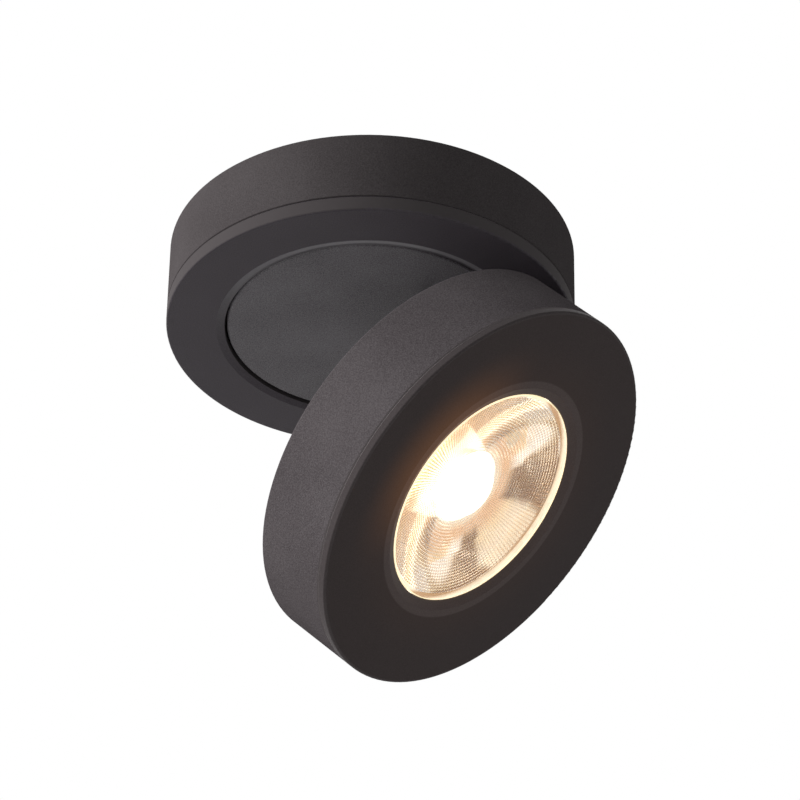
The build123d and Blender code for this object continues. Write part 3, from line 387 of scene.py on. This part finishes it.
dress(powderCoat("fine powder coat on cast aluminium", fineCoat), "base_housing", "swivel_arm")
dress(powderCoat("fine powder coat on turned aluminium", ringCoat), "base_face_ring")
dress(powderCoat("sand powder coat on cast aluminium", sandCoat), "turntable_disc")
dress(powderCoat("coarse powder coat on cast aluminium", headCoat), "head_housing")
dress(powderCoat("brown black powder coat on turned aluminium", bezelCoat, lampSpill), "front_bezel")
print("coats on the castings")

# bright zinc on steel: pale blue grey crystals with a soft brushed gloss
zincPlate = {"crystal": 0.8, "dark": "#a3a7a8", "light": "#c9cccb", "rough": 0.3, "relief": 0.004}
# black oxide on steel: nearly black with an oily sheen
blackOxide = {"crystal": 0.6, "dark": "#1b1b1d", "light": "#2b2b2e", "rough": 0.38, "relief": 0.004}
# hardened spring steel: grey with a straw tint where it was tempered
springSteel = {"crystal": 1.5, "dark": "#8b8680", "light": "#a7a5a2", "rough": 0.28, "relief": 0.003}
# turned brass: yellow, dulled in patches by handling
turnedBrass = {"crystal": 1.2, "dark": "#a98545", "light": "#cfae68", "rough": 0.27, "relief": 0.003}
# how the two tones of a metal spread, and how much duller the dark one is
metalGrain = {"darkAt": 0.35, "lightAt": 0.65, "duller": 0.12, "brighter": 0.1}
# painted lamp light on the screws beside it, as emission
screwGlow = {"light": "#f3d2a4", "level": 0.7}


def metal(name, s, glow=None):
    material, tree = newMaterial(name)
    place = addNode(tree, "ShaderNodeTexCoord").outputs["Object"]
    crystal = addNode(tree, "ShaderNodeTexNoise", {
        "Vector": place, "Scale": perMm(s["crystal"]), "Detail": 4.0, "Roughness": 0.65}).outputs["Fac"]
    colour = addNode(tree, "ShaderNodeValToRGB", {"Fac": crystal}, steps=[
        (metalGrain["darkAt"], s["dark"]), (metalGrain["lightAt"], s["light"])])
    rough = addNode(tree, "ShaderNodeMapRange", {
        "Value": crystal, "To Min": s["rough"] + metalGrain["duller"],
        "To Max": s["rough"] - metalGrain["brighter"]})
    relief = addNode(tree, "ShaderNodeBump", {
        "Height": crystal, "Strength": 1, "Distance": s["relief"] * mm})
    shade = addNode(tree, "ShaderNodeBsdfPrincipled", {
        "Base Color": colour.outputs["Color"], "Metallic": 1, "Roughness": rough.outputs["Result"],
        "Normal": relief.outputs["Normal"]})
    if glow:
        shade.inputs["Emission Color"].default_value = hexColour(glow["light"])
        shade.inputs["Emission Strength"].default_value = glow["level"]
    addNode(tree, "ShaderNodeOutputMaterial", {"Surface": shade.outputs[0]})
    return material


dress(metal("zinc plated steel", zincPlate), "mounting_strap", "swivel_nut", "stop_pin", "driver_screws",
      "face_ring_screws")
dress(metal("zinc plated steel beside the lamp", zincPlate, screwGlow), "cob_holder_screws")
dress(metal("black oxide steel", blackOxide), "hinge_pin", "hinge_cap", "side_screws", "arm_screws")
dress(metal("turned brass", turnedBrass), "terminal_screws", "terminal_inserts")
dress(metal("tempered spring steel", springSteel), "disc_spring")
print("metal finishes on")

# moulded pieces: even colour with slow flow marks and the fine texture of an eroded mould, drawn coarse
mouldMarks = {
    "flow": 9, "darkAt": 0.35, "lightAt": 0.65,
    "roughSpread": 0.08, "relief": 0.008, "scatter": 0.3,
}
# polycarbonate: dense white, and a dark tan one whose look comes mostly from painted lamp light on it
whitePlastic = {"dark": "#dcdad4", "light": "#e9e7e2", "texture": 0.35, "rough": 0.45, "depth": 0.3}
litPlastic = {"dark": "#3b2f22", "light": "#46382a", "texture": 0.35, "rough": 0.5, "depth": 0.3}
# acetal: waxy off-white with a slippery sheen
acetal = {"dark": "#dfdccf", "light": "#ebe9df", "texture": 0.5, "rough": 0.32, "depth": 0.5}
# nylon: milky, letting light into its thin walls
nylon = {"dark": "#dedacb", "light": "#eeebe0", "texture": 0.6, "rough": 0.34, "depth": 0.8}
# rubber: dull black
rubber = {"dark": "#141414", "light": "#1f1e1e", "texture": 0.4, "rough": 0.7, "depth": 0}
# shrink sleeve: blue black, drawn tight to a gloss
sleeve = {"dark": "#15191f", "light": "#1f252e", "texture": 0.8, "rough": 0.3, "depth": 0}
# silicone: a dry grey pad filled with powder, and a soft milky seal
padSilicone = {"dark": "#74757a", "light": "#8c8d92", "texture": 0.5, "rough": 0.65, "depth": 0}
sealSilicone = {"dark": "#d9d6cd", "light": "#e8e5dc", "texture": 0.7, "rough": 0.35, "depth": 0.8}

# painted lamp light on the cup behind the lens, made by emission: its tint from near to far, painted shade
# and painted bright lobes low in the cup, which are whole beyond the first radius and under the first height,
# and painted shade under the lens flange
holderGlow = {
    "near": 9, "far": 31, "level": 1.1,
    "steps": [(0, "#fff4e4"), (0.09, "#ffe6c6"), (0.15, "#f0c198"), (0.3, "#eebf92"), (0.5, "#ffdfae"),
              (0.8, "#ffe9cc"), (0.9, "#fbe8c8"), (1, "#000000")],
    "cup": {
        "lobes": ((-51, 11, 17, "#6e4218"), (-107, 6, 11, "#6e4218"),
                  (-31, 2, 9, "#fff7ee"), (-120, 2, 9, "#fff3e6")),
        "beyond": (17, 14), "under": (12.5, 15.5), "top": 20,
        "heights": [(12.4, "#ffffff"), (14, "#a8835c"), (16, "#a8835c"), (17.2, "#ffffff")],
    },
}
# painted lamp light on the board round the emitter, as emission, fading outwards
boardGlow = {
    "near": 6, "far": 20, "level": 1.6,
    "steps": [(0, "#fff6e8"), (0.3, "#fff0da"), (0.5, "#d9a35a"), (1, "#8a6238")],
}


# painted light on the cup: lobes of painted shade and painted brightness, then painted shade by height
def cupLight(tree, s, warm):
    height = addNode(tree, "ShaderNodeSeparateXYZ", {"Vector": headCoords(tree)}).outputs["Z"]
    limits = ((axisDistance(tree), s["beyond"], 1), (height, s["under"], mm))
    ends = [addNode(tree, "ShaderNodeMapRange", {
        "Value": value, "From Min": whole * unit, "From Max": gone * unit}).outputs["Result"]
        for value, (whole, gone), unit in limits]
    for middle, flat, half, code in s["lobes"]:
        share = lobeShare(tree, headCoords(tree), [(middle, flat, half, 0)])
        for end in ends:
            share = addNode(tree, "ShaderNodeMath", {0: share, 1: end}, operation="MAXIMUM").outputs[0]
        warm = addNode(tree, "ShaderNodeMix", {
            0: share, 6: hexColour(code), 7: warm}, data_type="RGBA").outputs[2]
    part = addNode(tree, "ShaderNodeMapRange", {"Value": height, "From Max": s["top"] * mm}).outputs["Result"]
    shaded = addNode(tree, "ShaderNodeValToRGB", {"Fac": part}, steps=[
        (level / s["top"], code) for level, code in s["heights"]]).outputs["Color"]
    return addNode(tree, "ShaderNodeMix", {
        0: 1, 6: warm, 7: shaded}, data_type="RGBA", blend_type="MULTIPLY").outputs[2]


def moulded(name, s, glow=None):
    material, tree = newMaterial(name)
    place = addNode(tree, "ShaderNodeTexCoord").outputs["Object"]
    flow = addNode(tree, "ShaderNodeTexNoise", {
        "Vector": place, "Scale": perMm(mouldMarks["flow"]), "Detail": 3.0}).outputs["Fac"]
    texture = addNode(tree, "ShaderNodeTexNoise", {
        "Vector": place, "Scale": perMm(s["texture"]), "Detail": 2.0}).outputs["Fac"]
    colour = addNode(tree, "ShaderNodeValToRGB", {"Fac": flow}, steps=[
        (mouldMarks["darkAt"], s["dark"]), (mouldMarks["lightAt"], s["light"])])
    rough = addNode(tree, "ShaderNodeMapRange", {
        "Value": texture, "To Min": s["rough"] - mouldMarks["roughSpread"],
        "To Max": s["rough"] + mouldMarks["roughSpread"]})
    relief = addNode(tree, "ShaderNodeBump", {
        "Height": texture, "Strength": 1, "Distance": mouldMarks["relief"] * mm})
    shade = addNode(tree, "ShaderNodeBsdfPrincipled", {
        "Base Color": colour.outputs["Color"], "Roughness": rough.outputs["Result"],
        "Normal": relief.outputs["Normal"], "Subsurface Weight": s["depth"] * mouldMarks["scatter"],
        "Subsurface Scale": s["depth"] * mm})
    if glow:  # painted lamp light from behind the lens, as emission, fading away from it
        reach = addNode(tree, "ShaderNodeMapRange", {
            "Value": axisDistance(tree), "From Min": glow["near"], "From Max": glow["far"]}).outputs["Result"]
        warm = addNode(tree, "ShaderNodeValToRGB", {"Fac": reach}, steps=glow["steps"]).outputs["Color"]
        if "cup" in glow:
            warm = cupLight(tree, glow["cup"], warm)
        tree.links.new(warm, shade.inputs["Emission Color"])
        shade.inputs["Emission Strength"].default_value = glow["level"]
    addNode(tree, "ShaderNodeOutputMaterial", {"Surface": shade.outputs[0]})
    return material


dress(moulded("moulded white polycarbonate", whitePlastic), "driver_case", "driver_lid")
dress(moulded("moulded tan polycarbonate by the lamp", litPlastic, holderGlow),
      "cob_holder", "lens_support", "cob_leads")
dress(moulded("white mask on the lamp board", whitePlastic, boardGlow), "cob_board")
dress(moulded("moulded acetal", acetal), "swivel_bush", "thrust_washer", "hinge_washers")
dress(moulded("moulded nylon", nylon), "terminal_block")
dress(moulded("moulded rubber", rubber), "turntable_grommet", "head_grommet")
dress(moulded("shrink sleeve", sleeve), "driver_capacitors")
dress(moulded("silicone thermal pad", padSilicone), "thermal_pad")
dress(moulded("silicone seal", sealSilicone), "lens_gasket")
print("plastics on")

# lead insulation: glossy vinyl, one colour for each lead of a pair, with faint drawing marks
supplySkin = {"first": "#2e5ea8", "second": "#6f4428", "mark": 1.5, "rough": 0.35, "spread": 0.1}
outputSkin = {"first": "#1d1c1c", "second": "#a3251c", "mark": 1.5, "rough": 0.35, "spread": 0.1}


def leadSkin(name, s):
    material, tree = newMaterial(name)
    place = addNode(tree, "ShaderNodeTexCoord").outputs["Object"]
    side = addNode(tree, "ShaderNodeSeparateXYZ", {"Vector": place}).outputs["X"]
    second = addNode(tree, "ShaderNodeMath", {0: side, 1: 0}, operation="GREATER_THAN").outputs[0]
    colour = addNode(tree, "ShaderNodeValToRGB", {"Fac": second}, steps=[(0, s["first"]), (1, s["second"])])
    marks = addNode(tree, "ShaderNodeTexNoise", {
        "Vector": place, "Scale": perMm(s["mark"]), "Detail": 3.0})
    rough = addNode(tree, "ShaderNodeMapRange", {
        "Value": marks.outputs["Fac"], "To Min": s["rough"] - s["spread"],
        "To Max": s["rough"] + s["spread"]})
    shade = addNode(tree, "ShaderNodeBsdfPrincipled", {
        "Base Color": colour.outputs["Color"], "Roughness": rough.outputs["Result"]})
    addNode(tree, "ShaderNodeOutputMaterial", {"Surface": shade.outputs[0]})
    return material


dress(leadSkin("blue and brown vinyl", supplySkin), "supply_leads")
dress(leadSkin("black and red vinyl", outputSkin), "output_leads")
print("leads coloured")

# solder mask on glass board: gloss green, paler and raised over the copper areas
boardMask = {"copper": "#1c6b3f", "bare": "#0f4527", "pad": 0.8, "gap": 0.25, "rough": 0.32, "relief": 0.03}
# polyester tape on the winding: amber, darker where the turns overlap
windingTape = {
    "turn": "#d2a32c", "lap": "#a87a18", "width": 1.885, "lapAt": 0.1, "turnAt": 0.25,
    "wander": 0.3, "rough": 0.28, "relief": 0.02,
}
brickLength = 0.5  # length of a brick at a texture scale of 1
waveLength = math.pi / 10  # and of a wave


def solderMask(s):
    material, tree = newMaterial("solder mask on glass board")
    scale = perMm(s["pad"]) * brickLength
    pads = addNode(tree, "ShaderNodeTexBrick", {
        "Vector": addNode(tree, "ShaderNodeTexCoord").outputs["Object"],
        "Scale": scale, "Mortar Size": s["gap"] * mm * scale / 2,
        "Color1": hexColour(s["copper"]), "Color2": hexColour(s["copper"]), "Mortar": hexColour(s["bare"])})
    relief = addNode(tree, "ShaderNodeBump", {
        "Height": pads.outputs["Fac"], "Strength": 1, "Distance": s["relief"] * mm}, invert=True)
    shade = addNode(tree, "ShaderNodeBsdfPrincipled", {
        "Base Color": pads.outputs["Color"], "Roughness": s["rough"], "Normal": relief.outputs["Normal"]})
    addNode(tree, "ShaderNodeOutputMaterial", {"Surface": shade.outputs[0]})
    return material


def polyesterTape(s):
    material, tree = newMaterial("polyester tape on ferrite")
    laps = addNode(tree, "ShaderNodeTexWave", {
        "Vector": addNode(tree, "ShaderNodeTexCoord").outputs["Object"],
        "Scale": perMm(s["width"]) * waveLength,
        "Distortion": s["wander"]}, wave_profile="SAW").outputs["Fac"]
    colour = addNode(tree, "ShaderNodeValToRGB", {"Fac": laps}, steps=[
        (s["lapAt"], s["lap"]), (s["turnAt"], s["turn"])])
    relief = addNode(tree, "ShaderNodeBump", {
        "Height": laps, "Strength": 1, "Distance": s["relief"] * mm})
    shade = addNode(tree, "ShaderNodeBsdfPrincipled", {
        "Base Color": colour.outputs["Color"], "Roughness": s["rough"], "Normal": relief.outputs["Normal"]})
    addNode(tree, "ShaderNodeOutputMaterial", {"Surface": shade.outputs[0]})
    return material


dress(solderMask(boardMask), "driver_board")
dress(polyesterTape(windingTape), "driver_transformer")
print("driver pieces on")

# phosphor under clear silicone: yellow when dark, lit here to a white hot disc, its powder drawn coarse
phosphor = {"powder": "#f2c230", "light": "#fff3e0", "level": 2.5, "spread": 0.1, "grain": 0.25, "rough": 0.3}


def litPhosphor(s):
    material, tree = newMaterial("phosphor silicone")
    grain = addNode(tree, "ShaderNodeTexNoise", {
        "Vector": addNode(tree, "ShaderNodeTexCoord").outputs["Object"],
        "Scale": perMm(s["grain"]), "Detail": 2.0}).outputs["Fac"]
    bounces = addNode(tree, "ShaderNodeLightPath").outputs["Diffuse Depth"]
    straight = addNode(tree, "ShaderNodeMath", {0: 1, 1: bounces}, operation="GREATER_THAN").outputs[0]
    level = addNode(tree, "ShaderNodeMapRange", {
        "Value": grain, "To Min": s["level"] * (1 - s["spread"]),
        "To Max": s["level"] * (1 + s["spread"])}).outputs["Result"]
    level = addNode(tree, "ShaderNodeMath", {0: level, 1: straight}, operation="MULTIPLY").outputs[0]
    shade = addNode(tree, "ShaderNodeBsdfPrincipled", {
        "Base Color": hexColour(s["powder"]), "Roughness": s["rough"],
        "Emission Color": hexColour(s["light"]), "Emission Strength": level})
    addNode(tree, "ShaderNodeOutputMaterial", {"Surface": shade.outputs[0]})
    material.cycles.emission_sampling = "NONE"  # seen through the lens, not used as a lamp
    return material


dress(litPhosphor(phosphor), "cob_emitter")
print("lamp lit")

# acrylic collimator lens with rows of diamond scales on its cone; W is a height over the head's rear face
lensForm = {
    "faceW": 21.15, "faceRadius": 27.7, "edge": 0.3, "frostDepth": 0.5,
    "flangeFront": 19.3, "flangeRear": 17.9, "flangeRadius": 30.4,
    "wallRadius": 26.6, "waistRadius": 19.29, "waistW": 12.5,
    "footRadius": 9.2, "footW": 7.9,
    "wellMouth": 7.2, "wellTop": 6.7, "wellW": 13.5, "crownW": 11.3,
    "scalesAround": 160, "scaleRows": 48, "scaleRise": 0.06, "scaleFlat": 0.75, "crownRings": 8,
}


def arcPoint(a, b, c, share):  # a point along the arc through three points of an outline
    (ax, ay), (bx, by), (cx, cy) = a, b, c
    d = 2 * (ax * (by - cy) + bx * (cy - ay) + cx * (ay - by))
    aa, bb, cc = ax * ax + ay * ay, bx * bx + by * by, cx * cx + cy * cy
    ux = (aa * (by - cy) + bb * (cy - ay) + cc * (ay - by)) / d
    uy = (aa * (cx - bx) + bb * (ax - cx) + cc * (bx - ax)) / d
    start, end = math.atan2(ay - uy, ax - ux), math.atan2(cy - uy, cx - ux)
    turn = (end - start + math.pi) % (2 * math.pi) - math.pi
    radius = math.hypot(ax - ux, ay - uy)
    angle = start + turn * share
    return ux + radius * math.cos(angle), uy + radius * math.sin(angle)


def lensMesh(s):
    mesh = bmesh.new()
    around = s["scalesAround"]
    lastRow = s["scaleRows"]
    clear, frosted, lit, scaled, grooved, hazed, pale = range(7)  # the finishes, in buildLens's order

    def ring(radius, w, shift=0.0):
        spots = []
        for i in range(around):
            angle = 2 * math.pi * (i + shift) / around
            spots.append(mesh.verts.new(Vector((radius * math.cos(angle), radius * math.sin(angle), w)) * mm))
        return spots

    def band(first, second, finish):
        for i in range(around):
            j = (i + 1) % around
            face = mesh.faces.new((first[i], first[j], second[j], second[i]))
            face.material_index = finish
            face.smooth = True

    def crease(loop):
        for i in range(around):
            edge = mesh.edges.get((loop[i], loop[(i + 1) % around]))
            edge.smooth = False

    def facet(*spots, finish=scaled):
        flat = mesh.faces.new(spots)
        flat.material_index = finish
        flat.smooth = False

    faceRim = ring(s["faceRadius"] - s["edge"], s["faceW"])
    sideTop = ring(s["faceRadius"], s["faceW"] - s["edge"])
    frostEnd = ring(s["faceRadius"], s["faceW"] - s["edge"] - s["frostDepth"])
    sideFoot = ring(s["faceRadius"], s["flangeFront"])
    flangeTop = ring(s["flangeRadius"], s["flangeFront"])
    flangeFoot = ring(s["flangeRadius"], s["flangeRear"])
    face = mesh.faces.new(faceRim)
    face.material_index = clear
    band(sideTop, faceRim, frosted)
    band(frostEnd, sideTop, frosted)
    band(sideFoot, frostEnd, hazed)
    band(flangeTop, sideFoot, pale)
    band(flangeFoot, flangeTop, pale)

    # rows of the cone, every other row turned by half a scale
    wall, waist = (s["wallRadius"], s["flangeRear"]), (s["waistRadius"], s["waistW"])
    foot = (s["footRadius"], s["footW"])
    rows = []
    for row in range(lastRow + 1):
        radius, w = arcPoint(wall, waist, foot, row / lastRow)
        rows.append(ring(radius, w, 0.5 * (row % 2)))
    band(rows[0], flangeFoot, clear)

    def corners(row, i):  # left and right corner of the scale that stands over corner i of the row below
        shift = (row + 1) % 2
        return rows[row][(i - shift) % around], rows[row][(i + 1 - shift) % around]

    axisPoint = Vector((0, 0, s["faceW"])) * mm
    for row in range(1, lastRow):
        for i in range(around):
            top, bottom = rows[row - 1][i], rows[row + 1][i]
            left, right = corners(row, i)
            middle = (left.co + right.co + top.co + bottom.co) / 4
            across, along = right.co - left.co, top.co - bottom.co
            outward = across.cross(along).normalized()
            if outward.dot(middle - axisPoint) < 0:
                outward.negate()
            lift = outward * s["scaleRise"] * mm
            outer = (top, left, bottom, right)
            inner = [mesh.verts.new(middle + (spot.co - middle) * s["scaleFlat"] + lift) for spot in outer]
            facet(*inner)
            for k in range(4):
                facet(outer[k], outer[k - 1], inner[k - 1], inner[k], finish=grooved)
    for i in range(around):  # half scales along both ends of the cone
        j = (i + 1) % around
        facet(rows[0][i], rows[0][j], corners(1, j)[0])
        facet(rows[lastRow][i], rows[lastRow][j], rows[lastRow - 1][(i + lastRow % 2) % around])

    wellMouth = ring(s["wellMouth"], s["footW"])
    wellTop = ring(s["wellTop"], s["wellW"])
    band(wellMouth, rows[lastRow], clear)
    band(wellTop, wellMouth, lit)
    sag = s["wellW"] - s["crownW"]
    crownRadius = (s["wellTop"] ** 2 + sag ** 2) / (2 * sag)
    outerRing = wellTop
    for step in range(1, s["crownRings"]):
        radius = s["wellTop"] * (1 - step / s["crownRings"])
        drop = crownRadius - math.sqrt(crownRadius ** 2 - radius ** 2)
        innerRing = ring(radius, s["crownW"] + drop)
        band(innerRing, outerRing, clear)
        outerRing = innerRing
    crown = mesh.faces.new(outerRing)
    crown.material_index = clear
    outerLoops = (faceRim, sideTop, sideFoot, flangeTop, flangeFoot)
    for loop in (*outerLoops, rows[0], rows[lastRow], wellMouth, wellTop):
        crease(loop)
    bmesh.ops.recalc_face_normals(mesh, faces=mesh.faces)
    return mesh


# clear acrylic: polished, with very slight ripples from the mould
acrylic = {"ior": 1.49, "ripple": 6, "rough": 0.015, "tint": "#ffffff"}
# the scales carry the grain of the mould, which softens what is seen through them
scaleSkin = {"ior": 1.49, "ripple": 0.6, "rough": 0.12, "tint": "#ffffff"}
# the grooves between the scales are hazed, so they pass less light
grooveSkin = {"ior": 1.49, "ripple": 0.6, "rough": 0.2, "tint": "#b08a58"}
# painted light: the wall of the well over the lamp glows by emission, as if hazed by the light that goes
# through it, brightest in one lobe
wellGlow = {"light": "#ffe8ca", "level": 0.15, "lobes": ((114, 24, 70, 21),)}
# painted light that the scales seem to scatter beside the bright wedge, in two lobes
scaleGlow = {"light": "#ffd4a6", "level": 0.003, "lobes": ((58, 14, 30, 150), (151, 14, 30, 150))}
# frosted acrylic: white grain, drawn coarse, with a painted glow by emission of light piped out from the lamp
frost = {"skin": "#f4f1e8", "rough": 0.4, "grain": 0.5, "spread": 0.2}
edgeGlow = {"light": "#ffe9b4", "level": 0.9}
hazeGlow = {"light": "#f7dfc0", "level": 0.9}
flangeGlow = {"light": "#fff2dd", "level": 1.15}


def clearAcrylic(name, s, glow=None):
    material, tree = newMaterial(name)
    ripple = addNode(tree, "ShaderNodeTexNoise", {
        "Vector": addNode(tree, "ShaderNodeTexCoord").outputs["Object"],
        "Scale": perMm(s["ripple"]), "Detail": 1.0})
    rough = addNode(tree, "ShaderNodeMapRange", {
        "Value": ripple.outputs["Fac"], "To Min": 0, "To Max": s["rough"]})
    shade = addNode(tree, "ShaderNodeBsdfPrincipled", {
        "Base Color": hexColour(s["tint"]), "Roughness": rough.outputs["Result"], "IOR": s["ior"],
        "Transmission Weight": 1})
    if glow:
        level = addNode(tree, "ShaderNodeMath", {
            0: lobeShare(tree, headCoords(tree), glow["lobes"]), 1: glow["level"]}, operation="MULTIPLY")
        shade.inputs["Emission Color"].default_value = hexColour(glow["light"])
        tree.links.new(level.outputs[0], shade.inputs["Emission Strength"])
        material.cycles.emission_sampling = "NONE"
    addNode(tree, "ShaderNodeOutputMaterial", {"Surface": shade.outputs[0]})
    return material


def frostedAcrylic(name, s, glow):
    material, tree = newMaterial(name)
    grain = addNode(tree, "ShaderNodeTexNoise", {
        "Vector": addNode(tree, "ShaderNodeTexCoord").outputs["Object"],
        "Scale": perMm(s["grain"]), "Detail": 2.0})
    level = addNode(tree, "ShaderNodeMapRange", {
        "Value": grain.outputs["Fac"], "To Min": glow["level"] * (1 - s["spread"]),
        "To Max": glow["level"] * (1 + s["spread"])})
    shade = addNode(tree, "ShaderNodeBsdfPrincipled", {
        "Base Color": hexColour(s["skin"]), "Roughness": s["rough"],
        "Emission Color": hexColour(glow["light"]), "Emission Strength": level.outputs["Result"]})
    addNode(tree, "ShaderNodeOutputMaterial", {"Surface": shade.outputs[0]})
    return material


def buildLens():
    mesh = bpy.data.meshes.new("collimator_lens")
    form = lensMesh(lensForm)
    form.transform(headFrame)
    form.to_mesh(mesh)
    form.free()
    finishes = (
        clearAcrylic("polished acrylic", acrylic),
        frostedAcrylic("frosted acrylic", frost, edgeGlow),
        clearAcrylic("acrylic lit from behind", acrylic, wellGlow),
        clearAcrylic("moulded acrylic scales", scaleSkin, scaleGlow),
        clearAcrylic("hazed acrylic grooves", grooveSkin),
        frostedAcrylic("hazed acrylic", frost, hazeGlow),
        frostedAcrylic("lit acrylic flange", frost, flangeGlow),
    )
    for finish in finishes:
        mesh.materials.append(finish)
    lens = bpy.data.objects.new("collimator_lens", mesh)
    scene.collection.objects.link(lens)
    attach(lens, "head")
    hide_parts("lens")


buildLens()
print("lens built")
